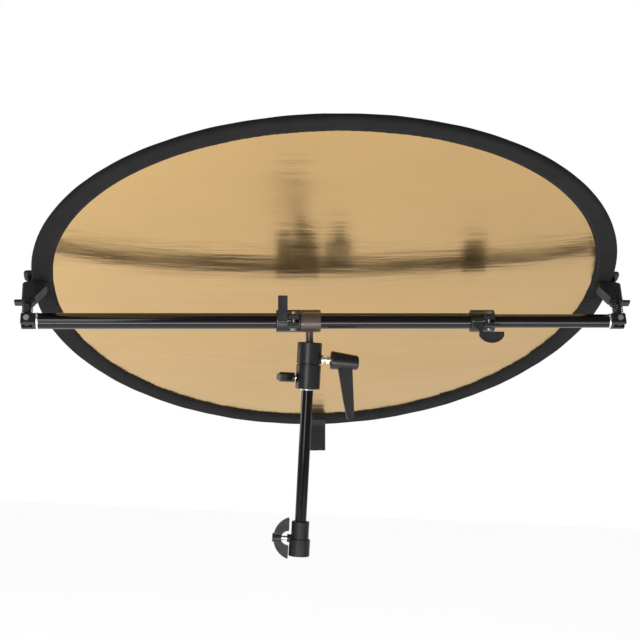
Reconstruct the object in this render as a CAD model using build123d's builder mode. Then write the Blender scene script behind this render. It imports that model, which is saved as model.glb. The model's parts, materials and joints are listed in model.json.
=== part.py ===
from build123d import *
import os
from math import cos, pi, radians, sin, sqrt

# Collapsible reflector disc held by a telescopic cross bar, a ball head and a stand's top riser.
# Millimetres. +Z runs up the pole, +X along the bar to the right, -Y towards the gold face's side.
# The origin is the centre of the mouth of the socket that drops onto the stand's tube.

# ---- driving dimensions: stand collar and riser ----
STAND_TUBE_R = 11.05          # socket for a 22 mm stand tube
SOCKET_DEPTH = 20.0
COLLAR_TOP = 48.0
COLLAR_R = 12.2
COLLAR_SKIRT_R = 14.5
RISER_R = 8.0
RISER_FOOT = 22.0
RISER_TOP = 229.5
RING_HEIGHT = 1.5
COLLAR_KNOB_Z = 24.0

# ---- driving dimensions: head ----
HEAD_R = 17.0
SOCKET_BODY_TOP = 265.0
GROOVE = 1.2
HEAD_TOP = 295.5
BALL_Z = 284.0
BALL_R = 13.0
LINER_R = 14.5
MOUTH_R = 12.0
STEM_R = 5.15
STEM_REACH = 41.0             # ball centre to bar axis
SOCKET_KNOB_Z = 246.0
RATCHET_Z = 272.5
SEAT_R = 15.15                # ring under the ball's liner, and the step it stands on
SEAT_Z = 269.0
HUB_START = 29.7              # handle hub, measured from the pole axis
HUB_END = 69.0

# ---- driving dimensions: bar ----
LEAN = 3.0                    # resting lean of the ball stem, degrees
OUTER_R = 11.0
OUTER_BORE_R = 9.8
INNER_R = 9.5
INNER_BORE_R = 8.3
SLEEVE_R = 15.5
SLEEVE_LEFT = -13.0
SLEEVE_RIGHT = 15.0
LOCK_LENGTH = 33.0
BAR_LOCK_LEFT = 224.0
OUTER_END = 253.0
INNER_START = 20.0

# ---- driving dimensions: reflector ----
DISC_R = 407.0
RIM_WIDTH = 28.0
RIM_THICK = 9.0
FACE_THICK = 0.5
DISC_X = 24.0                 # disc centre along the bar
DISC_DROP = 9.5               # disc centre below the clips, in the disc's plane
DISC_REACH = 64.0             # bar axis to the rim's middle plane
DISC_PITCH = 60.5             # how far the gold face looks down, degrees

# ---- driving dimensions: end clips ----
POST_OUT = 411.0              # clip post from the disc centre, along the bar
POST_R = 3.0
GUIDE_R = 5.0
JAW_R = 9.0
JAW_FOOT = 27.0
JAW_REACH = 25.0
JAW_HALF = 12.0
PAD_THICK = 1.5
CLEAR = 0.3                   # gap between a pad and the rim
BACK_JAW_THICK = 3.6
BACK_BOSS = 6.0
RUN = 0.05                    # radial running clearance

LOW = (Align.CENTER, Align.CENTER, Align.MIN)

# ---- frames ----
lean = radians(LEAN)
pitch = radians(DISC_PITCH)
FRONT = Vector(0, -1, 0)
bar_dir = Vector(cos(lean), 0, sin(lean))
bar_up = Vector(-sin(lean), 0, cos(lean))
ball_centre = Vector(0, 0, BALL_Z)
bar_centre = ball_centre + bar_up * STEM_REACH
disc_up = bar_up * cos(pitch) + FRONT * sin(pitch)
disc_normal = FRONT * cos(pitch) - bar_up * sin(pitch)
disc_centre = bar_centre + bar_dir * DISC_X - disc_normal * DISC_REACH - disc_up * DISC_DROP

stem_frame = Plane(origin=ball_centre, x_dir=bar_dir, z_dir=bar_up)
bar_frame = Plane(origin=bar_centre, x_dir=(0, 1, 0), z_dir=bar_dir)
disc_frame = Plane(origin=disc_centre, x_dir=bar_dir, z_dir=disc_normal)
ratchet_frame = Plane(origin=(0, 0, RATCHET_Z), x_dir=(0, 1, 0), z_dir=(1, 0, 0))
socket_knob_frame = Plane(origin=(0, 0, SOCKET_KNOB_Z), x_dir=(0, -1, 0), z_dir=(-1, 0, 0))
collar_knob_frame = Plane(origin=(0, 0, COLLAR_KNOB_Z), x_dir=(0, -1, 0), z_dir=(-1, 0, 0))


def front_frame(x):
    """Plane facing the gold side at x on the bar: X along the bar, Y up, Z to the front."""
    return Plane(origin=bar_centre + bar_dir * x, x_dir=bar_dir, z_dir=FRONT)


def clip_frame(side):
    """Frame of one end clip: X towards the disc's middle, Z from the bar to the disc."""
    origin = bar_centre + bar_dir * (DISC_X + side * POST_OUT)
    return Plane(origin=origin, x_dir=bar_dir * -side, z_dir=disc_normal * -1)


def save(piece, name):
    piece.part.label = name
    export_step(piece.part, f"parts/{name}.step")


def rod(start, end, radius, mode=Mode.ADD):
    """Cylinder along the frame's Z, from start to end."""
    with Locations((0, 0, start)):
        Cylinder(radius, end - start, align=LOW, mode=mode)


def bore(start, end, radius):
    rod(start, end, radius, Mode.SUBTRACT)


os.makedirs("parts", exist_ok=True)

# ================ stand collar ================
with BuildPart() as stand_collar:
    rod(0, SOCKET_DEPTH + 3, COLLAR_SKIRT_R)
    rod(SOCKET_DEPTH, COLLAR_TOP, COLLAR_R)
    # boss for the clamp screw
    with Locations(collar_knob_frame.location):
        rod(6, 17.5, 5.5)
    fillet(stand_collar.edges().filter_by(GeomType.CIRCLE).group_by(Axis.Z)[-1], 1.0)
    chamfer(stand_collar.edges().filter_by(GeomType.CIRCLE).group_by(Axis.Z)[0], 0.6)
    bore(0, SOCKET_DEPTH, STAND_TUBE_R)
    bore(SOCKET_DEPTH, COLLAR_TOP, RISER_R + 1.8)
    with Locations(collar_knob_frame.location):
        bore(6, 18, 3.05)
save(stand_collar, "stand_collar")

with BuildPart() as collar_bush:
    rod(SOCKET_DEPTH, COLLAR_TOP - 0.5, RISER_R + 1.78)
    bore(SOCKET_DEPTH, COLLAR_TOP, RISER_R + RUN)
    with Locations(collar_knob_frame.location):
        bore(6, 12, 3.05)
save(collar_bush, "collar_bush")

# clamp knob: a bowed wing on a hub, its tips curling back to the collar
with BuildPart(collar_knob_frame) as collar_knob:
    rod(26, 38, 6.0)
    with BuildSketch(Plane(origin=(0, 4, COLLAR_KNOB_Z), x_dir=(1, 0, 0), z_dir=(0, -1, 0))):
        with BuildLine():
            outer_bow = ThreePointArc((-15.5, 28.5), (-36.5, 0), (-15.5, -28.5))
            Line((-15.5, -28.5), (-15.3, -10))
            inner_bow = ThreePointArc((-15.3, -10), (-26, 0), (-15.3, 10))
            Line(inner_bow @ 1, outer_bow @ 0)
        make_face()
    extrude(amount=8)
    fillet(collar_knob.edges().filter_by(Axis.Y), 1.4)
    bore(25, 36, 3.02)
save(collar_knob, "collar_knob")

with BuildPart(collar_knob_frame) as collar_knob_screw:
    rod(8.3, 35.8, 3.0)
    chamfer(collar_knob_screw.edges().group_by(Axis.X)[-1], 0.6)
save(collar_knob_screw, "collar_knob_screw")

# ================ riser ================
with BuildPart() as riser_tube:
    rod(RISER_FOOT, RISER_TOP, RISER_R)
    bore(RISER_FOOT, RISER_TOP, RISER_R - 1.0)
save(riser_tube, "riser_tube")

with BuildPart() as riser_trim_ring:
    rod(RISER_TOP, RISER_TOP + RING_HEIGHT, RISER_R + 2.2)
    fillet(riser_trim_ring.edges(), 0.5)
    bore(RISER_TOP, RISER_TOP + RING_HEIGHT, RISER_R - 1.98)
save(riser_trim_ring, "riser_trim_ring")

with BuildPart() as riser_spigot:
    rod(RISER_TOP - 24, RISER_TOP + RING_HEIGHT, RISER_R - 2.0)
    rod(RISER_TOP - 24, RISER_TOP, RISER_R - 1.02)
    rod(RISER_TOP + RING_HEIGHT, 262, RISER_R)
    chamfer(riser_spigot.edges().group_by(Axis.Z)[-1], 0.8)
    # waist that the clamp screw bites on
    with BuildSketch(Plane.XZ) as waist:
        with BuildLine():
            Polyline((RISER_R - 1.6, 240), (RISER_R + 1, 238), (RISER_R + 1, 254), (RISER_R - 1.6, 252), close=True)
        make_face()
    revolve(axis=Axis.Z, mode=Mode.SUBTRACT)
save(riser_spigot, "riser_spigot")

# ================ head ================
with BuildPart() as socket_body:
    rod(RISER_TOP + RING_HEIGHT, SOCKET_BODY_TOP, HEAD_R)
    fillet(socket_body.edges().group_by(Axis.Z)[0], 1.2)
    chamfer(socket_body.edges().group_by(Axis.Z)[-1], 0.5)
    rod(SOCKET_BODY_TOP, SEAT_Z - 0.2, SEAT_R)
    bore(RISER_TOP + RING_HEIGHT, 262.2, RISER_R + RUN)
    with Locations(socket_knob_frame.location):
        bore(7, HEAD_R + 1, 3.04)
save(socket_body, "socket_body")

with BuildPart() as head_housing:
    rod(SOCKET_BODY_TOP + GROOVE, HEAD_TOP, HEAD_R)
    chamfer(head_housing.edges().group_by(Axis.Z)[0], 0.5)
    fillet(head_housing.edges().group_by(Axis.Z)[-1], 1.2)
    bore(SOCKET_BODY_TOP + GROOVE, BALL_Z, SEAT_R + RUN)
    with Locations((0, 0, BALL_Z)):
        Sphere(LINER_R + 0.1, mode=Mode.SUBTRACT)
    bore(BALL_Z, HEAD_TOP, MOUTH_R)
    with Locations(ratchet_frame.location):
        bore(14, HEAD_R + 1, 3.04)
save(head_housing, "head_housing")

# seat ring that carries the liner from below
with BuildPart() as ball_seat:
    rod(SEAT_Z, BALL_Z - 0.5, SEAT_R)
    with Locations((0, 0, BALL_Z)):
        Sphere(LINER_R + 0.1, mode=Mode.SUBTRACT)
    with Locations(ratchet_frame.location):
        bore(6, 16, 3.2)
save(ball_seat, "ball_seat")

with BuildPart() as ball_liner:
    with Locations((0, 0, BALL_Z)):
        Sphere(LINER_R)
        Sphere(BALL_R + RUN, mode=Mode.SUBTRACT)
    split(bisect_by=Plane.XY.offset(BALL_Z + 4), keep=Keep.BOTTOM)
    # moulding pin holes on the tilt axis
    with Locations(Location((0, 0, BALL_Z), (0, 90, 0))):
        Cylinder(1.5, 40, mode=Mode.SUBTRACT)
save(ball_liner, "ball_liner")

with BuildPart(stem_frame) as ball_stem:
    Sphere(BALL_R)
    rod(8, STEM_REACH - SLEEVE_R + 2.2, STEM_R)
    stem_rings = ball_stem.edges().filter_by(lambda e: e.is_closed and abs(e.length - 2 * pi * STEM_R) < 0.1)
    fillet(stem_rings.sort_by(Axis.Z)[0], 3.2)
    # cross hole on the swing axis, for turning the ball
    with Locations(Location((0, 0, 0), (90, 0, 0))):
        Cylinder(1.5, 40, mode=Mode.SUBTRACT)
save(ball_stem, "ball_stem")

# ---- socket clamp knob ----
with BuildPart(socket_knob_frame) as socket_knob_screw:
    rod(6.9, 32, 3.0)
    chamfer(socket_knob_screw.edges().group_by(Axis.X)[-1], 0.6)
save(socket_knob_screw, "socket_knob_screw")

with BuildPart(socket_knob_frame) as socket_knob:
    rod(18.6, 41.5, 6.8)
    fillet(socket_knob.edges().filter_by(GeomType.CIRCLE).sort_by(Axis.X)[0], 4.0)
    fillet(socket_knob.edges().filter_by(GeomType.CIRCLE).sort_by(Axis.X)[-1], 1.6)
    with BuildSketch(Plane(origin=(0, 0, SOCKET_KNOB_Z - 4), x_dir=(1, 0, 0), z_dir=(0, 0, 1))):
        with BuildLine():
            Polyline((-22, 0), (-22, 8), (-30, 15), (-38, 15), (-43.5, 5), (-43.5, 0))
            mirror(about=Plane.XZ)
        make_face()
    extrude(amount=8)
    fillet(socket_knob.edges().filter_by(Axis.Z), 2.5)
    bore(18, 32.2, 3.02)
save(socket_knob, "socket_knob")

# ---- ratchet lever ----
with BuildPart(ratchet_frame) as pressure_pin:
    rod(12.2, 13.4, 2.4)
save(pressure_pin, "pressure_pin")

with BuildPart(ratchet_frame) as ratchet_screw:
    rod(13.5, 60.8, 3.0)
    with BuildSketch(ratchet_frame.offset(23.6)):
        RegularPolygon(10 / sqrt(3), 6)
    extrude(amount=4)
    rod(HUB_START + 1, 46, 6.6)
    # index teeth that the handle drops onto
    with PolarLocations(6.6, 12):
        with Locations((0, 0, HUB_START + 1)):
            Cylinder(0.8, 46 - HUB_START - 1, align=LOW)
save(ratchet_screw, "ratchet_screw")

with BuildPart(ratchet_frame) as ratchet_washer:
    rod(HEAD_R + 0.1, HEAD_R + 2.6, 6.4)
    fillet(ratchet_washer.edges(), 0.5)
    bore(HEAD_R, HEAD_R + 3, 3.05)
save(ratchet_washer, "ratchet_washer")

with BuildPart(ratchet_frame) as ratchet_cap_screw:
    rod(61.0, 64.0, 5.2)
    fillet(ratchet_cap_screw.edges().group_by(Axis.X)[-1], 1.0)
save(ratchet_cap_screw, "ratchet_cap_screw")

# handle spring: a closed coil between the hub's shoulder and the cap screw
spring_r = 4.2
spring_wire_r = 0.5
with BuildPart() as ratchet_spring:
    with BuildLine() as coil:
        Helix(pitch=1.6, height=5.0, radius=spring_r, center=(55, 0, RATCHET_Z), direction=(1, 0, 0))
    with BuildSketch(Plane(origin=coil.line @ 0, z_dir=coil.line % 0)):
        Circle(spring_wire_r)
    sweep(path=coil.line, is_frenet=True)
save(ratchet_spring, "ratchet_spring")

with BuildPart(ratchet_frame) as ratchet_handle:
    with BuildSketch(ratchet_frame.offset(HUB_START)):
        Circle(12.9)
    with BuildSketch(ratchet_frame.offset(HUB_END)):
        with Locations((0, -2.2)):
            Circle(9.8)
    loft()
    fillet(ratchet_handle.edges().group_by(Axis.X)[-1], 4.0)
    fillet(ratchet_handle.edges().group_by(Axis.X)[0], 2.2)
    # arm, hanging and leaning away from the pole
    with BuildSketch(Plane(origin=(0, 5.5, RATCHET_Z), x_dir=(1, 0, 0), z_dir=(0, -1, 0))):
        with BuildLine():
            Polyline((39.5, -6), (50.4, -55.5), (56.2, -78.0))
            ThreePointArc((56.2, -78.0), (61.8, -82.2), (66.7, -78.0))
            Polyline((66.7, -78.0), (64.6, -55.5), (60.0, -6), (39.5, -6))
        make_face()
    extrude(amount=11)
    fillet(ratchet_handle.edges().filter_by(Axis.Y).group_by(Axis.Z)[0], 1.5)
    bore(HUB_START, 51.5, 7.6)
    bore(51.5, 66.5, 5.6)
save(ratchet_handle, "ratchet_handle")

# ================ tee sleeve on the ball stem ================
with BuildPart() as tee_sleeve:
    with Locations(bar_frame.location):
        rod(SLEEVE_LEFT, SLEEVE_RIGHT, SLEEVE_R)
    chamfer(tee_sleeve.edges(), 0.5)
    with Locations(bar_frame.location):
        bore(SLEEVE_LEFT, SLEEVE_RIGHT, OUTER_R + 1.6)
    with Locations(stem_frame.location):
        bore(STEM_REACH - SLEEVE_R - 2, STEM_REACH - SLEEVE_R + 2.3, STEM_R + 0.02)
save(tee_sleeve, "tee_sleeve")

with BuildPart(bar_frame) as tee_bush:
    rod(SLEEVE_LEFT + 0.2, SLEEVE_RIGHT - 0.2, OUTER_R + 1.6 - RUN)
    bore(SLEEVE_LEFT, SLEEVE_RIGHT, OUTER_R + RUN)
save(tee_bush, "tee_bush")


def bar_lock(prefix, left, bore_r, up, paddle):
    """Split clamp collar with lugs to the front, its bolt and nut, a pivot pin and a flip lever.

    up is 1 for a lever that stands above the bar and -1 for one that hangs below it.
    """
    front = front_frame(left)
    along = Plane(origin=front.origin, x_dir=(0, 1, 0), z_dir=bar_dir)
    pin_front = 19.5
    lug_left, lug_right = 15.5, 30.5
    lug_mid = (lug_left + lug_right) / 2
    with BuildPart() as collar:
        with Locations(along.location):
            rod(0, LOCK_LENGTH, SLEEVE_R)
        chamfer(collar.edges(), 0.5)
        with Locations(front.location):
            with Locations((lug_mid, 0, 18)):
                Box(lug_right - lug_left, 20, 13)
        fillet(collar.edges().filter_by(lambda e: abs((e % 0.5).dot(bar_dir)) > 0.99
               and (e.center() - front.origin).dot(FRONT) > 22), 3.0)
        with Locations(along.location):
            bore(-1, LOCK_LENGTH + 1, bore_r)
        with Locations(front.location):
            # split, from the bore out through the lugs
            with Locations((lug_mid, 0, 18)):
                Box(lug_right - lug_left + 1, 4.2, 16, mode=Mode.SUBTRACT)
            with Locations(Location((lug_mid, 0, pin_front), (90, 0, 0))):
                Cylinder(2.3, 30, mode=Mode.SUBTRACT)
    save(collar, f"{prefix}_collar")

    bolt_axis = Plane(origin=front.from_local_coords((lug_mid, 0, pin_front)), x_dir=bar_dir,
                      z_dir=bar_up * up)
    with BuildPart(bolt_axis) as bolt:
        rod(-13.5, 10.2, 2.25)
        rod(10.2, 13.2, 4.4)
        fillet(bolt.edges().filter_by(lambda e: e.is_closed and e.length > 8 * pi).sort_by(
            lambda e: (e.center() - bolt_axis.origin).dot(bolt_axis.z_dir))[-1], 1.2)
    save(bolt, f"{prefix}_bolt")

    with BuildPart() as nut:
        with BuildSketch(bolt_axis.offset(-13.2)):
            RegularPolygon(8 / sqrt(3), 6)
            Circle(2.27, mode=Mode.SUBTRACT)
        extrude(amount=2.9)
    save(nut, f"{prefix}_nut")

    pin_axis = Plane(origin=front.from_local_coords((0, 0, pin_front)), x_dir=(0, 1, 0), z_dir=bar_dir)
    with BuildPart(pin_axis) as pin:
        rod(0.6, 19.8, 1.95)
        chamfer(pin.edges().filter_by(GeomType.CIRCLE), 0.3)
    save(pin, f"{prefix}_pin")

    with BuildPart() as lever:
        with Locations(pin_axis.location):
            rod(1.6, 14.6, 3.3)
        with BuildSketch(front.offset(pin_front - 3.1)):
            with BuildLine():
                if paddle:
                    Polyline((1.6, 0), (1.6, 7 * up), (9.8, 14.6 * up), (9.8, 21 * up))
                    ThreePointArc((9.8, 21 * up), (24, 30 * up), (41, 25 * up))
                    Polyline((41, 25 * up), (44, 21 * up), (44, 14.6 * up), (14.6, 14.6 * up),
                             (14.6, 0), (1.6, 0))
                else:
                    Polyline((1.6, 0), (1.6, 35 * up), (14.6, 35 * up), (14.6, 0), close=True)
            make_face()
        extrude(amount=6.2)
        fillet(lever.edges().filter_by(lambda e: abs((e % 0.5).dot(FRONT)) > 0.99
               and abs((e.center() - front.origin).dot(bar_up)) > 20), 1.5)
        with Locations(pin_axis.location):
            bore(0, 16, 1.95 + RUN)
    save(lever, f"{prefix}_lever")


bar_lock("tee_lock", SLEEVE_LEFT - LOCK_LENGTH, OUTER_R + 0.25, 1, paddle=False)

# ================ telescopic bar ================
outer_start = DISC_X - POST_OUT + 15.5
inner_end = DISC_X + POST_OUT - 15.5

with BuildPart(bar_frame) as outer_tube:
    rod(outer_start, OUTER_END, OUTER_R)
    bore(outer_start, OUTER_END, OUTER_BORE_R)
save(outer_tube, "outer_tube")

bar_lock("bar_lock", BAR_LOCK_LEFT, OUTER_R + 0.02, -1, paddle=True)

with BuildPart(bar_frame) as inner_tube:
    rod(INNER_START, inner_end, INNER_R)
    bore(INNER_START, inner_end, INNER_BORE_R)
save(inner_tube, "inner_tube")

# bush pressed on the inner tube's hidden end
with BuildPart(bar_frame) as inner_tube_bush:
    rod(INNER_START - 3, INNER_START, OUTER_BORE_R - RUN)
    rod(INNER_START, INNER_START + 12, INNER_BORE_R - RUN)
    bore(INNER_START - 3, INNER_START + 12, INNER_BORE_R - 1.5)
save(inner_tube_bush, "inner_tube_bush")


# ================ end clips ================
def end_clip(name, side, tube_r, bore_r):
    """End block, washer, pivot screw, post, spring, sliding front jaw and fixed back jaw."""
    frame = clip_frame(side)
    tube_axis = Plane(origin=frame.origin, x_dir=disc_normal, z_dir=bar_dir * -side)
    block_in, washer_in = 13.0, 15.5
    front_face = DISC_REACH - RIM_THICK / 2 - CLEAR
    back_face = DISC_REACH + RIM_THICK / 2 + CLEAR

    with BuildPart() as block:
        with Locations(frame.location):
            with Locations((2.5, 0, 0)):
                Box(21, 19, 16)
        fillet(block.edges(), 1.6)
        with Locations(tube_axis.location):
            rod(block_in - 2, 32, bore_r - 0.03)
        chamfer(block.edges().filter_by(GeomType.CIRCLE).filter_by(
            lambda e: abs((e.center() - frame.origin).dot(bar_dir)) > 31), 0.8)
        with Locations(frame.location):
            # slot for the post's eye, open to the disc
            with Locations((-1.0, 0, 1.0)):
                Box(18, 8.1, 18, mode=Mode.SUBTRACT)
            with Locations(Location((0, 0, 0), (90, 0, 0))):
                Cylinder(2.52, 30, mode=Mode.SUBTRACT)
    save(block, f"{name}_end_block")

    with BuildPart(tube_axis) as washer:
        rod(block_in + 0.02, washer_in - 0.02, tube_r + 0.6)
        fillet(washer.edges(), 0.5)
        bore(block_in, washer_in, bore_r)
    save(washer, f"{name}_end_washer")

    with BuildPart(frame) as pivot:
        with Locations(Location((0, 0, 0), (90, 0, 0))):
            Cylinder(2.5, 18.8)
            for end in (-1, 1):
                with Locations((0, 0, end * 10.3)):
                    Cylinder(4.0, 1.6)
    save(pivot, f"{name}_pivot_screw")

    with BuildPart(frame) as post:
        with Locations(Location((0, 0, 0), (90, 0, 0))):
            Cylinder(6.8, 8.0)
        with Locations((0, 0, 5)):
            Box(11.6, 8.0, 7)
        rod(8.3, 40, GUIDE_R)
        rod(40, back_face + BACK_BOSS, POST_R)
        with Locations(Location((0, 0, 0), (90, 0, 0))):
            Cylinder(2.52, 20, mode=Mode.SUBTRACT)
    save(post, f"{name}_clip_post")

    with BuildPart() as spring:
        with BuildLine() as coil:
            Helix(pitch=3.4, height=16.0, radius=6.9, center=frame.offset(9.6).origin,
                  direction=frame.z_dir)
        with BuildSketch(Plane(origin=coil.line @ 0, z_dir=coil.line % 0)):
            Circle(0.75)
        sweep(path=coil.line, is_frenet=True)
    save(spring, f"{name}_jaw_spring")

    with BuildPart(frame) as front_jaw:
        rod(JAW_FOOT + 2, front_face - PAD_THICK, JAW_R)
        rod(JAW_FOOT, JAW_FOOT + 3, JAW_R + 1.5)
        # finger tab, on the side away from the disc
        with Locations((-13.4, 0, JAW_FOOT + 2)):
            Box(10.5, 11, 4)
        fillet(front_jaw.edges().filter_by(
            lambda e: abs((e.center() - frame.origin).dot(bar_dir)) > 18), 1.8)
        # gusseted jaw over the rim
        with BuildSketch(Plane(origin=frame.from_local_coords((0, 0, 0)), x_dir=frame.x_dir,
                               z_dir=frame.y_dir * -1)):
            with BuildLine():
                Polyline((0, JAW_FOOT + 4), (10, JAW_FOOT + 5), (JAW_REACH, front_face - PAD_THICK - 7),
                         (JAW_REACH, front_face - PAD_THICK), (0, front_face - PAD_THICK), close=True)
            make_face()
        extrude(amount=JAW_HALF - 2, both=True)
        fillet(front_jaw.edges().filter_by(lambda e: abs((e % 0.5).dot(disc_normal)) > 0.99
               and abs((e.center() - frame.origin).dot(bar_dir)) > 20), 4.0)
        bore(JAW_FOOT - 1, 52, GUIDE_R + RUN)
        bore(50, front_face, POST_R + RUN)
    save(front_jaw, f"{name}_front_jaw")

    with BuildPart(frame) as back_jaw:
        with Locations(((JAW_REACH - 7.5) / 2, 0, back_face + PAD_THICK)):
            Box(JAW_REACH + 7.5, 2 * JAW_HALF, BACK_JAW_THICK, align=LOW)
        fillet(back_jaw.edges().filter_by(lambda e: abs((e % 0.5).dot(disc_normal)) > 0.99), 6.0)
        rod(back_face + PAD_THICK, back_face + PAD_THICK + BACK_BOSS, 5.4)
        fillet(back_jaw.edges().filter_by(lambda e: (e.center() - frame.origin).dot(disc_normal * -1)
               > back_face + PAD_THICK + BACK_BOSS - 0.5), 1.6)
        bore(back_face, back_face + BACK_BOSS + 0.02, POST_R + 0.01)
    save(back_jaw, f"{name}_back_jaw")

    # ribbed rubber pads, one on each jaw
    for pad_name, start in (("front_pad", front_face - PAD_THICK), ("back_pad", back_face)):
        with BuildPart(frame) as pad:
            with Locations(((5.5 + JAW_REACH - 1.5) / 2, 0, start)):
                Box(JAW_REACH - 1.5 - 5.5, 2 * JAW_HALF - 7, PAD_THICK, align=LOW)
            rib_z = start + (0 if pad_name == "back_pad" else PAD_THICK)
            with Locations(((5.5 + JAW_REACH - 1.5) / 2, 0, rib_z)):
                with GridLocations(3.0, 1, 5, 1):
                    Box(1.0, 2 * JAW_HALF, 0.8, mode=Mode.SUBTRACT)
        save(pad, f"{name}_{pad_name}")


end_clip("left", -1, OUTER_R, OUTER_BORE_R)
end_clip("right", 1, INNER_R, INNER_BORE_R)

# ================ reflector ================
rim_in = DISC_R - RIM_WIDTH
hoop_in, hoop_out, hoop_half = 400.2, 401.8, 3.0
face_r = rim_in + 8

# section plane through the disc's axis: X is the radius, Y runs along the gold face's normal
section = Plane(origin=disc_centre, x_dir=disc_up * -1, z_dir=bar_dir)
disc_axis = Axis(disc_centre, disc_normal)
assert abs(section.y_dir.dot(disc_normal)) > 0.999

with BuildPart() as rim_binding:
    with BuildSketch(section):
        with Locations(((rim_in + DISC_R) / 2, 0)):
            RectangleRounded(RIM_WIDTH, RIM_THICK, 2.5)
        # casing for the hoop
        with Locations((401, 0)):
            Rectangle(6, 7.6, mode=Mode.SUBTRACT)
        # seam slot that takes the edges of both faces
        with Locations((rim_in + 4.05, 0)):
            Rectangle(8.3, 2 * FACE_THICK + 0.2, mode=Mode.SUBTRACT)
    revolve(axis=disc_axis)
save(rim_binding, "rim_binding")

with BuildPart() as spring_hoop:
    with BuildSketch(section):
        with Locations(((hoop_in + hoop_out) / 2, 0)):
            Rectangle(hoop_out - hoop_in, 2 * hoop_half)
    revolve(axis=disc_axis)
save(spring_hoop, "spring_hoop")

# sheet-metal sleeve where the hoop's ends meet
with BuildPart() as hoop_splice:
    with BuildSketch(section):
        with Locations((401, 0)):
            Rectangle(3.4, 7.2)
            Rectangle(hoop_out - hoop_in + 0.1, 2 * hoop_half + 0.1, mode=Mode.SUBTRACT)
    revolve(axis=disc_axis, revolution_arc=5)
save(hoop_splice, "hoop_splice")

with BuildPart(disc_frame) as gold_face:
    rod(0.04, 0.04 + FACE_THICK, face_r)
save(gold_face, "gold_face")

with BuildPart(disc_frame) as reverse_face:
    rod(-0.04 - FACE_THICK, -0.04, face_r)
save(reverse_face, "reverse_face")

# webbing loop that hangs from the rim, to the right of the disc's lowest point
tab_width, tab_length, tab_thick, tab_x = 25.0, 45.0, 3.0, 13.4
corner_r = 2.5
lowest = ((DISC_R - corner_r) * cos(pitch) + (RIM_THICK / 2 - corner_r) * sin(pitch) + corner_r) + 0.05
behind = (DISC_R - corner_r) * sin(pitch) - (RIM_THICK / 2 - corner_r) * cos(pitch)
hang = disc_centre + bar_dir * tab_x - bar_up * lowest - FRONT * behind
with BuildPart(Plane(origin=hang, x_dir=bar_dir, z_dir=bar_up * -1)) as rim_tab:
    Box(tab_width, tab_thick, tab_length, align=LOW)
save(rim_tab, "rim_tab")
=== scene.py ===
import json
import math

import bpy
import numpy as np
from mathutils import Matrix, Vector


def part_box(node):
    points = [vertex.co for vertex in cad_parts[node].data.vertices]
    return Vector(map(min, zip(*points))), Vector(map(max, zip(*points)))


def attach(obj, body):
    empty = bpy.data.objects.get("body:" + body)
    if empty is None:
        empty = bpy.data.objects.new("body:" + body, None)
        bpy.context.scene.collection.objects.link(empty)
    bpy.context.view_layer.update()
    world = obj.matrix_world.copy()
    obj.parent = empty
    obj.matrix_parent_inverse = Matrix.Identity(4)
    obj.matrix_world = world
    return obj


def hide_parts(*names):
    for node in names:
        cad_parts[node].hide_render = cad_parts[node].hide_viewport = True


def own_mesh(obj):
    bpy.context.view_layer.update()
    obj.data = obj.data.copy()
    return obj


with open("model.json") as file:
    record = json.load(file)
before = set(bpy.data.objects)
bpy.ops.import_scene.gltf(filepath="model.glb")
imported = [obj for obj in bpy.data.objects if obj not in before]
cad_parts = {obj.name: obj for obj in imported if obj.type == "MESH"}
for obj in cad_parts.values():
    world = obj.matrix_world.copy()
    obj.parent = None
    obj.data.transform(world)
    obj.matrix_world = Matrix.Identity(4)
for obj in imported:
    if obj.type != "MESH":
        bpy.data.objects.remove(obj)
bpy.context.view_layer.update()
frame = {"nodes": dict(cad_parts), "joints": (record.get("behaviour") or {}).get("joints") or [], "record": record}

# A gold reflector disc in a telescopic holder. The metal and plastic parts are the CAD nodes with
# procedural materials. The film faces, the padded rim, its seams, the webbing tab and the jaw
# springs are built here. Metres, in the part's frame.

MM = 0.001

# ---- places read from the frame ----
JOINTS = {j["name"]: j for j in frame["joints"]}
BAR_DIR = Vector(JOINTS["bar_slide"]["axis"]).normalized()
BAR_CENTRE = Vector(JOINTS["bar_roll"]["pos_m"])
FRONT = Vector((0, -1, 0))
BAR_UP = FRONT.cross(BAR_DIR)
DISC_UP = -Vector(JOINTS["reflector_release"]["axis"]).normalized()
DISC_NORMAL = Vector(JOINTS["left_jaw_open"]["axis"]).normalized()


def middle(node):
    low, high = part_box(node)
    return (Vector(low) + Vector(high)) / 2


DISC_CENTRE = middle("rim_binding")
DISC_FRAME = Matrix((BAR_DIR, DISC_UP, DISC_NORMAL)).transposed().to_4x4()
DISC_FRAME.translation = DISC_CENTRE

# ---- sizes of the soft pieces ----
RIM_R = 408.5 * MM
RIM_WIDTH = 29.5 * MM
RIM_STEPS = 17                # points across one side of the rim's section
RIM_HALF = 5.5 * MM           # half the padded rim's thickness at its fullest
RIM_AT_CLIP = 4.4 * MM        # and where the jaws press it
CLIP_RISE = 9.5 * MM          # how far above the disc's centre line the jaws press
PRESSED = 26 * MM             # how far along the rim from a clip it springs back
SEAM_HALF = 1.3 * MM          # half the thickness at the inner seam
SEAM_SHARE = 0.14             # where the lockstitch runs, as a share of the rim's width
BOW = 13 * MM                 # how far the clips bend the disc: its top and bottom lean to the bar
CLIP_DRAW = 1.5 * MM          # how far the clips draw the rim in
DRAWN = 60 * MM               # and how far to each side of them
TILT = 3.5 * MM               # how far its top springs back, and its bottom forward, past square
SAG = 5.5 * MM                # the film's own sag at the middle
FILM_THICK = 0.25 * MM
FILM_R = RIM_R - RIM_WIDTH + 5 * MM
HOOP_R = 401 * MM
TAB_WIDTH = 25 * MM
TAB_THICK = 1.1 * MM
TAB_DROP = 37 * MM            # how far its loop hangs
TAB_SEWN = 22 * MM            # how far it's sewn along the rim
TAB_X = 13.4 * MM             # the tab hangs to the right of the lowest point
LAP_X = 32 * MM               # the rim's binding laps over itself beside the tab
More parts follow.
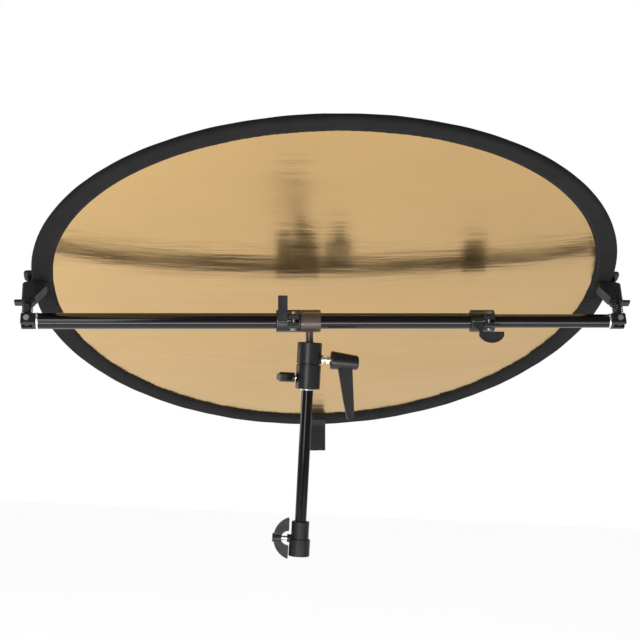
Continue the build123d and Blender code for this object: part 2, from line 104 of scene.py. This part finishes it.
LAP_HALF = 16 * MM


# ================ mesh helpers ================
def add_mesh(name, vertices, faces, material, smooth=True):
    mesh = bpy.data.meshes.new(name)
    mesh.from_pydata([tuple(v) for v in vertices], [], faces)
    mesh.validate()
    mesh.update()
    mesh.polygons.foreach_set("use_smooth", [smooth] * len(mesh.polygons))
    mesh.materials.append(material)
    piece = bpy.data.objects.new(name, mesh)
    bpy.context.scene.collection.objects.link(piece)
    return piece


def grid_faces(rows, columns, wrap_rows=False, wrap_columns=False):
    """Quads of a grid whose vertices are stored row by row."""
    faces = []
    for i in range(rows if wrap_rows else rows - 1):
        for j in range(columns if wrap_columns else columns - 1):
            a, b = i * columns + j, i * columns + (j + 1) % columns
            c, d = ((i + 1) % rows) * columns + (j + 1) % columns, ((i + 1) % rows) * columns + j
            faces.append((a, b, c, d))
    return faces


def on_film(x, v, w=0.0):
    """Point on the film, bent by the clips and sagging, and w off it along the gold side's normal."""
    bend = BOW * (1 - (x / FILM_R) ** 2) - TILT * v / FILM_R
    sag = SAG * (1 - ((x * x + v * v) / FILM_R**2) ** 2)
    return DISC_FRAME @ Vector((x, v, bend + sag + w))


def on_rim(angle, r, w=0.0):
    """Point of the bent rim, which keeps its edge's height across its width and is drawn in at the clips."""
    bend = BOW * math.sin(angle) ** 2 - TILT * math.sin(angle)
    r -= CLIP_DRAW * math.exp(-((math.sin(angle) * RIM_R / DRAWN) ** 2))
    return DISC_FRAME @ Vector((r * math.cos(angle), r * math.sin(angle), bend + w))


# ================ materials ================
class Surface:
    """A Principled material with short calls for the procedural textures that drive it."""

    def __init__(self, name, colour, roughness, metallic=0.0, **sockets):
        self.material = bpy.data.materials.new(name)
        self.material.use_nodes = True
        self.tree = self.material.node_tree
        self.shader = self.tree.nodes["Principled BSDF"]
        self.colour = colour
        self.set("Base Color", (*colour, 1))
        self.set("Roughness", roughness)
        self.set("Metallic", metallic)
        for socket, value in sockets.items():
            self.set(socket.replace("_", " "), value)
        self.height = None

    def set(self, socket, value):
        self.shader.inputs[socket].default_value = value

    def node(self, kind, **values):
        made = self.tree.nodes.new(kind)
        for key, value in values.items():
            if key in made.inputs:
                made.inputs[key].default_value = value
            else:
                setattr(made, key, value)
        return made

    def link(self, source, target):
        self.tree.links.new(source, target)

    def coordinates(self, stretch=(1, 1, 1), place=None):
        """Object coordinates, in the local axes of place where one is given, then stretched."""
        source = self.node("ShaderNodeTexCoord").outputs["Object"]
        if place is not None:
            local = self.node("ShaderNodeMapping", vector_type="TEXTURE")
            local.inputs["Location"].default_value = place.to_translation()
            local.inputs["Rotation"].default_value = place.to_euler()
            self.link(source, local.inputs["Vector"])
            source = local.outputs["Vector"]
        scaled = self.node("ShaderNodeMapping")
        scaled.inputs["Scale"].default_value = stretch
        self.link(source, scaled.inputs["Vector"])
        return scaled.outputs["Vector"]

    def noise(self, scale, detail=3.0, stretch=(1, 1, 1), place=None, rough=0.5):
        made = self.node("ShaderNodeTexNoise", Scale=scale, Detail=detail, Roughness=rough)
        self.link(self.coordinates(stretch, place), made.inputs["Vector"])
        return made.outputs["Fac"]

    def wave(self, scale, direction, place=None, distortion=0.0):
        made = self.node("ShaderNodeTexWave", Scale=scale, Distortion=distortion,
                         bands_direction=direction)
        self.link(self.coordinates(place=place), made.inputs["Vector"])
        return made.outputs["Fac"]

    def vary_colour(self, factor, dark, light, low=0.3, high=0.7):
        """Base colour runs from dark to light times the material's colour as factor goes from low to high."""
        ramp = self.node("ShaderNodeValToRGB")
        for element, place, k in zip(ramp.color_ramp.elements, (low, high), (dark, light)):
            element.position = place
            element.color = (*(min(1.0, c * k) for c in self.colour), 1)
        self.link(factor, ramp.inputs["Fac"])
        self.link(ramp.outputs["Color"], self.shader.inputs["Base Color"])

    def vary_roughness(self, factor, low, high):
        spread = self.node("ShaderNodeMapRange")
        spread.inputs["From Min"].default_value = 0.3
        spread.inputs["From Max"].default_value = 0.7
        spread.inputs["To Min"].default_value = low
        spread.inputs["To Max"].default_value = high
        self.link(factor, spread.inputs["Value"])
        self.link(spread.outputs["Result"], self.shader.inputs["Roughness"])

    def bump(self, factor, distance, strength=1.0):
        """Adds one layer of relief, distance metres deep."""
        made = self.node("ShaderNodeBump", Strength=strength, Distance=distance)
        self.link(factor, made.inputs["Height"])
        if self.height is not None:
            self.link(self.height, made.inputs["Normal"])
        self.height = made.outputs["Normal"]
        self.link(self.height, self.shader.inputs["Normal"])


def make_gold():
    film = Surface("gold_film", (0.472, 0.312, 0.137), 0.2, 1.0)
    film.vary_colour(film.noise(5, 4, (1, 1.6, 1), DISC_FRAME), 0.965, 1.03)
    film.vary_roughness(film.noise(14, 5, (0.6, 1, 1), DISC_FRAME), 0.17, 0.26)
    # slack in the film: long level swells, short level ripples and a fine crinkle
    film.bump(film.noise(9, 2, (0.35, 1, 1), DISC_FRAME), 0.004, 0.5)
    film.bump(film.noise(60, 3, (0.12, 1, 1), DISC_FRAME), 0.0009, 0.75)
    film.bump(film.noise(420, 2, (0.35, 1, 1), DISC_FRAME), 0.00012, 0.5)
    return film.material


def make_silver():
    film = Surface("silver_film", (0.9, 0.905, 0.91), 0.3, 1.0)
    film.vary_colour(film.noise(5, 4, (1, 1, 1), DISC_FRAME), 0.96, 1.02)
    film.vary_roughness(film.noise(30, 5, (1, 1, 1), DISC_FRAME), 0.29, 0.37)
    film.bump(film.noise(9, 2, (0.5, 1, 1), DISC_FRAME), 0.003, 0.3)
    film.bump(film.noise(45, 2, (0.3, 1, 1), DISC_FRAME), 0.0006, 0.35)
    return film.material


def make_cloth(name, colour, roughness, pitch, sheen):
    """Woven cloth: two crossed waves for the yarns, and soft patches of wear."""
    cloth = Surface(name, colour, roughness, Sheen_Weight=sheen, Sheen_Roughness=0.5,
                    Specular_IOR_Level=0.2)
    cloth.vary_colour(cloth.noise(30, 4, (1, 1, 1), DISC_FRAME), 0.8, 1.25)
    cloth.bump(cloth.wave(1 / (20 * pitch), "X", DISC_FRAME, 0.5), 0.12 * pitch, 0.5)
    cloth.bump(cloth.wave(1 / (20 * pitch), "Y", DISC_FRAME, 0.5), 0.12 * pitch, 0.5)
    cloth.bump(cloth.noise(90, 4, (1, 1, 1), DISC_FRAME), 0.0005, 0.5)
    return cloth.material


def make_coated(name, colour, low, high, coat=0.0, grain=900, depth=0.00003, **sockets):
    """Painted, anodised or moulded black: fine grain and slight patches of wear in the gloss."""
    finish = Surface(name, colour, low, Coat_Weight=coat, Coat_Roughness=0.12, **sockets)
    finish.vary_colour(finish.noise(60, 4), 0.85, 1.15)
    finish.vary_roughness(finish.noise(110, 5), low, high)
    finish.bump(finish.noise(grain, 3), depth, 0.6)
    return finish.material


def make_turned(name, colour, low, high, pitch):
    """Lathe-turned satin black, with fine rings round the pole."""
    finish = Surface(name, colour, low, Specular_IOR_Level=0.45)
    finish.vary_colour(finish.noise(50, 4), 0.88, 1.12)
    finish.vary_roughness(finish.noise(70, 4, (1, 1, 6)), low, high)
    finish.bump(finish.wave(1 / (20 * pitch), "Z"), 0.000012, 0.6)
    finish.bump(finish.noise(700, 3), 0.00002, 0.5)
    return finish.material


def make_metal(name, colour, low, high, stretch=(1, 1, 1), depth=0.00001):
    """Bare or plated metal with a faint brushed grain."""
    finish = Surface(name, colour, low, 1.0)
    finish.vary_colour(finish.noise(80, 4), 0.92, 1.05)
    finish.vary_roughness(finish.noise(160, 5, stretch), low, high)
    finish.bump(finish.noise(600, 3, stretch), depth, 0.6)
    return finish.material


MATERIALS = {
    "gold_fabric": make_gold(),
    "reverse_fabric": make_silver(),
    "rim_fabric": make_cloth("rim_cloth", (0.0072, 0.0068, 0.007), 0.88, 0.0009, 0.0),
    "tab_webbing": make_cloth("tab_webbing", (0.013, 0.013, 0.0135), 0.8, 0.0016, 0.06),
    "collar_black": make_coated("collar_lacquer", (0.006, 0.006, 0.006), 0.35, 0.45, depth=0.00008,
                                Specular_IOR_Level=0.3),
    "tube_black": make_coated("tube_gloss", (0.005, 0.0042, 0.004), 0.07, 0.11, grain=1500,
                              depth=0.000004, Specular_IOR_Level=0.32),
    "head_black": make_turned("head_satin", (0.0055, 0.0062, 0.0055), 0.28, 0.36, 0.0007),
    "sleeve_grey": make_coated("sleeve_paint", (0.05, 0.034, 0.026), 0.3, 0.4, coat=0.1, grain=700),
    "knob_plastic": make_coated("knob_nylon", (0.006, 0.006, 0.0065), 0.3, 0.42, depth=0.00006,
                                Specular_IOR_Level=0.4),
    "lock_plastic": make_coated("lock_nylon", (0.009, 0.0085, 0.0088), 0.28, 0.4, depth=0.00006,
                                Specular_IOR_Level=0.4),
    "clip_plastic": make_coated("clip_nylon", (0.009, 0.009, 0.0095), 0.4, 0.5, depth=0.00007,
                                Specular_IOR_Level=0.3),
    "pad_rubber": make_coated("pad_rubber", (0.012, 0.012, 0.012), 0.7, 0.85, depth=0.00008),
    "nylon": make_coated("natural_nylon", (0.62, 0.6, 0.54), 0.4, 0.5, Subsurface_Weight=0.1),
    "bright_steel": make_metal("bright_zinc", (0.78, 0.78, 0.79), 0.28, 0.4),
    "chrome_trim": make_metal("chrome", (0.83, 0.83, 0.84), 0.05, 0.1),
    "lock_steel": make_metal("dark_zinc", (0.3, 0.3, 0.31), 0.25, 0.38),
    "spring_steel": make_metal("blued_spring_steel", (0.07, 0.07, 0.075), 0.3, 0.42),
    "seat_brass": make_metal("turned_brass", (0.7, 0.5, 0.22), 0.2, 0.32),
}
THREAD = make_cloth("seam_thread", (0.02, 0.02, 0.021), 0.7, 0.0005, 0.1)

for part in frame["record"]["subparts"]:
    mesh = frame["nodes"][part["node"]].data
    mesh.materials.clear()
    mesh.materials.append(MATERIALS[part["material_slot"]])


# ================ film faces ================
def film(name, node, slot, side):
    """One stretched film face. side is 1 for the gold side and -1 for the reverse."""
    rings, spokes = 110, 480
    vertices = [on_film(0, 0, side * 0.5 * MM)]
    for i in range(1, rings + 1):
        r = FILM_R * (i / rings)
        for j in range(spokes):
            angle = 2 * math.pi * j / spokes
            # puckers start at the seam and die away inwards
            edge = math.exp(-(FILM_R - r) / (16 * MM))
            pucker = 0.3 * MM * edge * (math.sin(67 * angle + 1.3) + 0.7 * math.sin(41 * angle))
            slack = 0.25 * MM * math.sin(9 * r / FILM_R + 3 * angle) * (r / FILM_R) ** 2 * (1 - edge)
            vertices.append(on_film(r * math.cos(angle), r * math.sin(angle),
                                    side * 0.5 * MM + 0.6 * pucker + slack - 0.9 * MM * edge**3))
    faces = [(0, 1 + (j + 1) % spokes, 1 + j) for j in range(spokes)]
    faces += [tuple(k + 1 for k in quad) for quad in grid_faces(rings, spokes, wrap_columns=True)]
    if side > 0:
        faces = [quad[::-1] for quad in faces]
    piece = add_mesh(name, vertices, faces, MATERIALS[slot])
    solid = piece.modifiers.new("thickness", "SOLIDIFY")
    solid.thickness = FILM_THICK
    solid.offset = 0
    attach(piece, "reflector")
    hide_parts(node)
    return piece


# ================ padded rim ================
CLIP_ANGLE = math.asin(CLIP_RISE / RIM_R)
CLIP_ANGLES = (CLIP_ANGLE, math.pi - CLIP_ANGLE)
LAP_ANGLE = -math.acos(LAP_X / RIM_R)


def angle_between(a, b):
    return abs((a - b + math.pi) % (2 * math.pi) - math.pi)


def rim_half(angle):
    """Half the rim's thickness at its fullest: the jaws press it flat beside each clip."""
    near = min(angle_between(angle, clip) for clip in CLIP_ANGLES) * RIM_R
    press = math.exp(-((near / PRESSED) ** 2))
    lap = math.exp(-((angle_between(angle, LAP_ANGLE) * RIM_R / LAP_HALF) ** 8))
    swell = RIM_HALF + 0.25 * MM * (math.sin(23 * angle) + 0.6 * math.sin(57 * angle + 2))
    return swell + (RIM_AT_CLIP - swell) * press + 0.5 * MM * lap


def rim_side():
    """One side's section as (share of width from the inner edge, share of the half thickness)."""
    rise = SEAM_HALF / RIM_HALF
    points = []
    for k in range(RIM_STEPS):
        share = 0.5 - 0.5 * math.cos(math.pi * k / (RIM_STEPS - 1))
        # quick rise beside the seam, a nearly flat back and a round outer edge
        inside = 1 - (1 - min(1.0, share / 0.3)) ** 2.4
        outside = max(0.0, 1 - (max(0.0, share - 0.8) / 0.2) ** 2.2) ** 0.5
        dome = inside * outside
        points.append((share, rise * (1 - share) ** 8 + dome * (1 - rise * (1 - share) ** 8)))
    return points


def rim_point(angle, share, height):
    return on_rim(angle, RIM_R - RIM_WIDTH * (1 - share), height)


def rim_height(angle, share, h):
    """Height of the padded surface, with small sewing puckers beside the inner seam."""
    depth = 0.28 * MM * math.exp(-((share - 0.2) / 0.1) ** 2)
    pucker = depth * math.sin(190 * angle + 3 * math.sin(11 * angle))
    return rim_half(angle) * h + (pucker if h > 0 else -pucker) * (abs(h) > 0.2)


def make_rim():
    spokes = 960
    upper = rim_side()
    lower = [(share, -h) for share, h in reversed(upper)]
    profile = upper + lower[1:]
    vertices = []
    for j in range(spokes):
        angle = 2 * math.pi * j / spokes
        vertices += [rim_point(angle, share, rim_height(angle, share, h)) for share, h in profile]
    faces = grid_faces(spokes, len(profile), wrap_rows=True, wrap_columns=True)
    piece = add_mesh("rim_binding_cloth", vertices, faces, MATERIALS["rim_fabric"])
    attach(piece, "reflector")
    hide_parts("rim_binding")
    return piece


def hoop(name, node, half_width, half_height, start, end, closed):
    """Flat steel strip bent with the disc, between two angles."""
    steps = 720 if closed else 24
    corners = ((-half_width, -half_height), (half_width, -half_height),
               (half_width, half_height), (-half_width, half_height))
    vertices = []
    for i in range(steps):
        angle = start + (end - start) * i / (steps if closed else steps - 1)
        vertices += [on_rim(angle, HOOP_R + across, height) for across, height in corners]
    faces = grid_faces(steps, 4, wrap_rows=closed, wrap_columns=True)
    if not closed:
        faces += [(3, 2, 1, 0), tuple((steps - 1) * 4 + k for k in range(4))]
    piece = add_mesh(name, vertices, faces, MATERIALS["spring_steel"], smooth=False)
    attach(piece, "reflector")
    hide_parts(node)


# ================ stitching ================
def stitches(name, spots, length, radius):
    """Short raised threads. Each spot is (middle, direction along the thread, outward normal)."""
    around, along = 6, 5
    vertices, faces = [], []
    for centre, forward, out in spots:
        side = forward.cross(out)
        start = len(vertices)
        for i in range(along):
            t = i / (along - 1) * 2 - 1
            width = radius * math.sqrt(max(0.08, 1 - t**4))
            lift = 0.6 * radius * (1 - t * t)
            for k in range(around):
                turn = 2 * math.pi * k / around
                vertices.append(centre + forward * (t * length / 2) + side * (width * math.cos(turn))
                                + out * (lift + 0.7 * width * math.sin(turn)))
        faces += [tuple(start + n for n in quad) for quad in grid_faces(along, around, wrap_columns=True)]
        faces.append(tuple(start + k for k in reversed(range(around))))
        faces.append(tuple(start + (along - 1) * around + k for k in range(around)))
    piece = add_mesh(name, vertices, faces, THREAD)
    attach(piece, "reflector")
    return piece


def rim_seam(name, share, side, pitch):
    """One row of lockstitch round the rim."""
    r = RIM_R - RIM_WIDTH * (1 - share)
    count = round(2 * math.pi * r / pitch)
    h = float(np.interp(share, *zip(*rim_side())))
    spots = []
    for k in range(count):
        angle = 2 * math.pi * k / count
        step = 2 * math.pi / count * 0.3
        here = rim_point(angle, share, side * rim_height(angle, share, h))
        ahead = rim_point(angle + step, share, side * rim_height(angle + step, share, h))
        spots.append((here, (ahead - here).normalized(), DISC_NORMAL * side))
    return stitches(name, spots, 0.66 * pitch, 0.33 * MM)


# ================ webbing tab ================
# (outwards from the rim's edge, height) of straight down, in the disc's plane at its lowest point
DOWN = (BAR_UP.dot(DISC_UP), -BAR_UP.dot(DISC_NORMAL))
TAB_INSET = 2 * MM            # it leaves the rim this far inside the edge
SEWN_STEPS, TURN_STEPS, HANG_STEPS, FOLD_STEPS = 9, 6, 11, 6


def tab_point(across, out, height):
    return DISC_FRAME @ Vector((TAB_X + across, -(RIM_R + out), BOW + TILT + height))


def tab_path():
    """Middle line of the webbing: sewn along the rim, hanging in a flat loop and back up to the edge."""
    lift, turn_r, fold_r = RIM_HALF + 0.9 * MM, 3 * MM, 1.1 * MM
    path = [(-TAB_INSET - TAB_SEWN * (1 - t), lift) for t in np.linspace(0, 1, SEWN_STEPS)]
    full = math.atan2(DOWN[1], DOWN[0])
    for turn in np.linspace(0, full, TURN_STEPS + 1)[1:]:
        path.append((-TAB_INSET + turn_r * math.sin(turn), lift + turn_r * (1 - math.cos(turn))))
    top = path[-1]
    aside = (DOWN[1], -DOWN[0])
    for t in np.linspace(0, 1, HANG_STEPS + 1)[1:]:
        sway = 0.5 * MM * math.sin(math.pi * t)
        path.append(tuple(top[k] + DOWN[k] * TAB_DROP * t - aside[k] * sway for k in (0, 1)))
    low = path[-1]
    for turn in np.linspace(0, math.pi, FOLD_STEPS + 1)[1:]:
        over, down = fold_r * (1 - math.cos(turn)), fold_r * math.sin(turn)
        path.append(tuple(low[k] + aside[k] * over + DOWN[k] * down for k in (0, 1)))
    back = path[-1]
    for t in np.linspace(0, 1, HANG_STEPS + 1)[1:]:
        path.append(tuple(back[k] - DOWN[k] * (TAB_DROP - 1 * MM) * t for k in (0, 1)))
    return path


def make_tab():
    columns = 11
    path = tab_path()
    vertices = []
    for out, height in path:
        for k in range(columns):
            across = (k / (columns - 1) - 0.5) * TAB_WIDTH
            ripple = 0.12 * MM * math.sin(400 * across + 150 * out)
            vertices.append(tab_point(across, out, height + ripple))
    piece = add_mesh("webbing_loop", vertices, grid_faces(len(path), columns), MATERIALS["tab_webbing"])
    solid = piece.modifiers.new("thickness", "SOLIDIFY")
    solid.thickness = TAB_THICK
    solid.offset = 0
    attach(piece, "reflector")
    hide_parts("rim_tab")
    return piece


def tab_seams():
    """A box of stitches where the webbing is sewn to the rim, and one row at its hem."""
    spots = []
    pitch = 3 * MM
    lift = RIM_HALF + 1.5 * MM
    above_fold = SEWN_STEPS + TURN_STEPS + HANG_STEPS - 2
    hem = tab_point(0, *tab_path()[above_fold]) + FRONT * 0.6 * MM
    for across in np.arange(-10.5 * MM, 10.6 * MM, pitch):
        for out in (-18 * MM, -5 * MM):
            spots.append((tab_point(across, out, lift), BAR_DIR, DISC_NORMAL))
        spots.append((hem + BAR_DIR * across, BAR_DIR, FRONT))
    for out in np.arange(-16.5 * MM, -6 * MM, pitch):
        for across in (-10.5 * MM, 10.5 * MM):
            spots.append((tab_point(across, out, lift), DISC_UP, DISC_NORMAL))
    return stitches("tab_stitching", spots, 0.66 * pitch, 0.35 * MM)


# ================ jaw springs ================
def jaw_spring(side):
    """Coil round the clip post between the end block and the sliding jaw."""
    node = f"{side}_jaw_spring"
    centre = middle(node)
    length, coil_r, wire_r, turns, sides = 16.0 * MM, 6.9 * MM, 0.75 * MM, 4.7, 10
    across, rise = BAR_DIR, -DISC_NORMAL
    third = rise.cross(across)
    steps = int(turns * 28)
    vertices = []
    for i in range(steps + 1):
        turn = 2 * math.pi * turns * i / steps
        radial = across * math.cos(turn) + third * math.sin(turn)
        spine = centre + radial * coil_r + rise * ((i / steps - 0.5) * length)
        for k in range(sides):
            a = 2 * math.pi * k / sides
            vertices.append(spine + radial * (wire_r * math.cos(a)) + rise * (wire_r * math.sin(a)))
    faces = grid_faces(steps + 1, sides, wrap_columns=True)
    faces += [tuple(reversed(range(sides))), tuple(steps * sides + k for k in range(sides))]
    piece = add_mesh(f"{side}_coil", vertices, faces, MATERIALS["spring_steel"])
    body = {"left": "outer_bar", "right": "inner_bar"}[side]
    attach(piece, body)
    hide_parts(node)
    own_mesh(piece)
    return piece


# ================ camera, floor and light ================
CAMERA_DISTANCE = 2.214
CAMERA_YAW = math.radians(4.0)
CAMERA_SIDE = 0.0145
CAMERA_SHIFT = 0.0015625
FOCAL_SHARE = 2.5016          # focal length over the frame's width
SENSOR_MM = 36


def make_camera():
    data = bpy.data.cameras.new("camera")
    data.sensor_width = SENSOR_MM
    data.lens = SENSOR_MM * FOCAL_SHARE
    data.shift_y = CAMERA_SHIFT
    data.dof.use_dof = False
    camera = bpy.data.objects.new("camera", data)
    bpy.context.scene.collection.objects.link(camera)
    right = BAR_DIR * math.cos(CAMERA_YAW) + FRONT * math.sin(CAMERA_YAW)
    back = FRONT * math.cos(CAMERA_YAW) - BAR_DIR * math.sin(CAMERA_YAW)
    place = Matrix((right, back.cross(right), back)).transposed().to_4x4()
    place.translation = BAR_CENTRE + right * CAMERA_SIDE + back * CAMERA_DISTANCE
    camera.matrix_world = place
    bpy.context.scene.camera = camera


def area_light(name, position, target, width, height, power):
    data = bpy.data.lights.new(name, "AREA")
    data.shape = "RECTANGLE"
    data.size = width
    data.size_y = height
    data.energy = power
    light = bpy.data.objects.new(name, data)
    light.location = position
    light.visible_camera = False
    light.rotation_euler = (Vector(target) - Vector(position)).to_track_quat("-Z", "Y").to_euler()
    bpy.context.scene.collection.objects.link(light)


def make_stage():
    """Pale floor well below the part, so that its shadow stays soft and out of the gold."""
    half, drop, thickness = 9.0, -1.0, 0.05
    corners = [(x, y, z) for z in (drop - thickness, drop) for y in (-half, half) for x in (-half, half)]
    faces = [(0, 2, 3, 1), (4, 5, 7, 6), (0, 1, 5, 4), (1, 3, 7, 5), (3, 2, 6, 7), (2, 0, 4, 6)]
    pale = Surface("pale_floor", (0.9, 0.9, 0.9), 0.9)
    pale.set("Emission Color", (1, 1, 1, 1))
    pale.set("Emission Strength", 0.68)
    pale.vary_colour(pale.noise(2, 2), 0.99, 1.01)
    floor = add_mesh("floor", corners, faces, pale.material, smooth=False)


def make_world():
    """White to the camera; to the surfaces, bright behind the part and dimmer on the camera's side."""
    world = bpy.data.worlds.new("studio")
    bpy.context.scene.world = world
    world.use_nodes = True
    tree = world.node_tree
    seen = tree.nodes["Background"]
    seen.inputs["Color"].default_value = (1, 1, 1, 1)
    seen.inputs["Strength"].default_value = 1.0
    split = tree.nodes.new("ShaderNodeSeparateXYZ")
    tree.links.new(tree.nodes.new("ShaderNodeTexCoord").outputs["Generated"], split.inputs[0])
    ramp = tree.nodes.new("ShaderNodeMapRange")
    for socket, value in (("From Min", -0.6), ("From Max", 0.6), ("To Min", 0.16), ("To Max", 0.6)):
        ramp.inputs[socket].default_value = value
    tree.links.new(split.outputs["Y"], ramp.inputs["Value"])
    lit = tree.nodes.new("ShaderNodeBackground")
    tree.links.new(ramp.outputs["Result"], lit.inputs["Strength"])
    mix = tree.nodes.new("ShaderNodeMixShader")
    tree.links.new(tree.nodes.new("ShaderNodeLightPath").outputs["Is Camera Ray"], mix.inputs["Fac"])
    tree.links.new(lit.outputs[0], mix.inputs[1])
    tree.links.new(seen.outputs[0], mix.inputs[2])
    tree.links.new(mix.outputs[0], tree.nodes["World Output"].inputs["Surface"])


def make_lights():
    area_light("overhead", (-0.4, 0.6, 2.6), (0, 0, 0.3), 2.6, 2.6, 15)
    key = BAR_CENTRE + FRONT * 2.8 - BAR_DIR * 1.0 + BAR_UP * 0.5
    area_light("key_left", key, BAR_CENTRE, 1.3, 1.8, 32)
    low = BAR_CENTRE + FRONT * 1.35 - BAR_UP * 0.9
    area_light("low_strip", low, BAR_CENTRE, 2.6, 0.16, 22)
    # brightens the floor that the left of the film mirrors
    area_light("floor_wash", (-1.3, 0.8, 0.2), (-0.75, 0.8, -1), 0.8, 0.8, 8)


bpy.context.scene.view_settings.view_transform = "Standard"
make_camera()
make_rim()
hoop("steel_hoop", "spring_hoop", 0.8 * MM, 3 * MM, 0, 2 * math.pi, closed=True)
hoop("hoop_sleeve", "hoop_splice", 1.7 * MM, 3.4 * MM, math.radians(268), math.radians(273), closed=False)
film("gold_film_face", "gold_face", "gold_fabric", 1)
film("silver_film_face", "reverse_face", "reverse_fabric", -1)
rim_seam("rim_stitching_gold_side", SEAM_SHARE, 1, 4 * MM)
rim_seam("rim_stitching_reverse_side", SEAM_SHARE, -1, 4 * MM)
make_tab()
tab_seams()
jaw_spring("left")
jaw_spring("right")
make_stage()
make_world()
make_lights()
